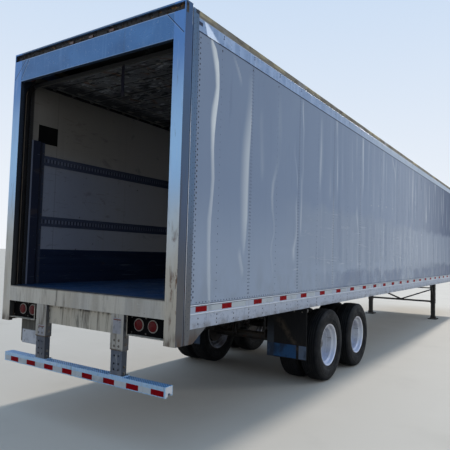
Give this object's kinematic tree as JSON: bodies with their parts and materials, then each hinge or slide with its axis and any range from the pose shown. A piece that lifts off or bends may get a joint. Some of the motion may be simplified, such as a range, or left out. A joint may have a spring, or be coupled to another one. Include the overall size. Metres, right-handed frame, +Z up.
{
  "type": "semi trailer",
  "caption": "Box semi trailer with a roll-up rear door stowed open under the roof, a sliding tandem bogie on twin wheels, and landing legs let down.",
  "frame": {"origin": "on the ground, under the middle of the overall length and width", "axes": "+X towards the nose and kingpin, +Y to the trailer's left, +Z up"},
  "size_m": [16.216, 2.591, 4.115],
  "materials": {
    "sheet_white": "aged gloss paint",
    "rail_aluminium": "mill finish, weathered",
    "roof_aluminium": "mill finish, dusty",
    "stainless": "weathered stainless",
    "galvanised": "galvanised, dull",
    "chassis_black": "worn black paint",
    "crossmember_grey": "dull dark coating",
    "floor_wood": "worn laminated hardwood",
    "track_blue": "dull dark blue paint",
    "door_panel": "aged paint",
    "door_hardware": "plain zinc",
    "balancer_brown": "dull red-brown primer",
    "strap_black": "woven webbing",
    "wheel_white": "dusty white paint",
    "tyre_rubber": "dusty",
    "flap_rubber": "dirty white",
    "lamp_red": "clear red lens",
    "lamp_amber": "clear amber lens",
    "kingpin_steel": "greased steel",
    "plate_white": "flat, blank",
    "fitting_alloy": "cast"
  },
  "bodies": {
    "trailer": {"side_wall_left": "sheet_white", "side_wall_right": "sheet_white", "front_wall": "sheet_white", "bottom_rails": "rail_aluminium", "top_rails": "rail_aluminium", "roof_sheet": "roof_aluminium", "roof_bows": "rail_aluminium", "floor_boards": "floor_wood", "crossmembers": "crossmember_grey", "rear_posts": "stainless", "rear_header": "stainless", "rear_sill": "stainless", "rear_skirt": "stainless", "tail_lamps": "lamp_red", "guard_posts": "galvanised", "guard_bar": "galvanised", "logistics_tracks": "track_blue", "scuff_liners": "track_blue", "door_tracks": "door_hardware", "door_sections": "door_panel", "door_hinges": "door_hardware", "door_rollers": "door_hardware", "door_balancer": "balancer_brown", "door_strap": "strap_black", "slide_rails": "chassis_black", "coupler_plate": "chassis_black", "kingpin": "kingpin_steel", "landing_legs": "chassis_black", "landing_feet": "chassis_black", "landing_braces": "chassis_black", "landing_drive": "chassis_black", "nose_fittings": "fitting_alloy", "marker_lamps": "lamp_amber", "number_plate": "plate_white"},
    "bogie": {"bogie_frame": "chassis_black", "lock_pins": "chassis_black", "spring_hangers": "chassis_black", "equalizers": "chassis_black", "leaf_springs": "chassis_black", "axles": "chassis_black", "radius_rods": "chassis_black", "brake_chambers": "chassis_black", "flap_bars": "chassis_black", "mud_flaps": "flap_rubber"},
    "wheels_rear_left": {"wheel_rear_left": "wheel_white", "tyres_rear_left": "tyre_rubber"},
    "wheels_rear_right": {"wheel_rear_right": "wheel_white", "tyres_rear_right": "tyre_rubber"},
    "wheels_front_left": {"wheel_front_left": "wheel_white", "tyres_front_left": "tyre_rubber"},
    "wheels_front_right": {"wheel_front_right": "wheel_white", "tyres_front_right": "tyre_rubber"}
  },
  "joints": [
    {"name": "bogie_slide", "type": "slide", "parent": "trailer", "child": "bogie", "axis": [1, 0, 0], "range_m": [-1.2192, 1.8288]},
    {"name": "wheel_spin_rear_left", "type": "hinge", "parent": "bogie", "child": "wheels_rear_left", "pos_m": [-4.49, 0.98425, 0.518], "axis": [0, 1, 0], "continuous": true},
    {"name": "wheel_spin_rear_right", "type": "hinge", "parent": "bogie", "child": "wheels_rear_right", "pos_m": [-4.49, -0.98425, 0.518], "axis": [0, 1, 0], "continuous": true},
    {"name": "wheel_spin_front_left", "type": "hinge", "parent": "bogie", "child": "wheels_front_left", "pos_m": [-3.245, 0.98425, 0.518], "axis": [0, 1, 0], "continuous": true},
    {"name": "wheel_spin_front_right", "type": "hinge", "parent": "bogie", "child": "wheels_front_right", "pos_m": [-3.245, -0.98425, 0.518], "axis": [0, 1, 0], "continuous": true}
  ]
}
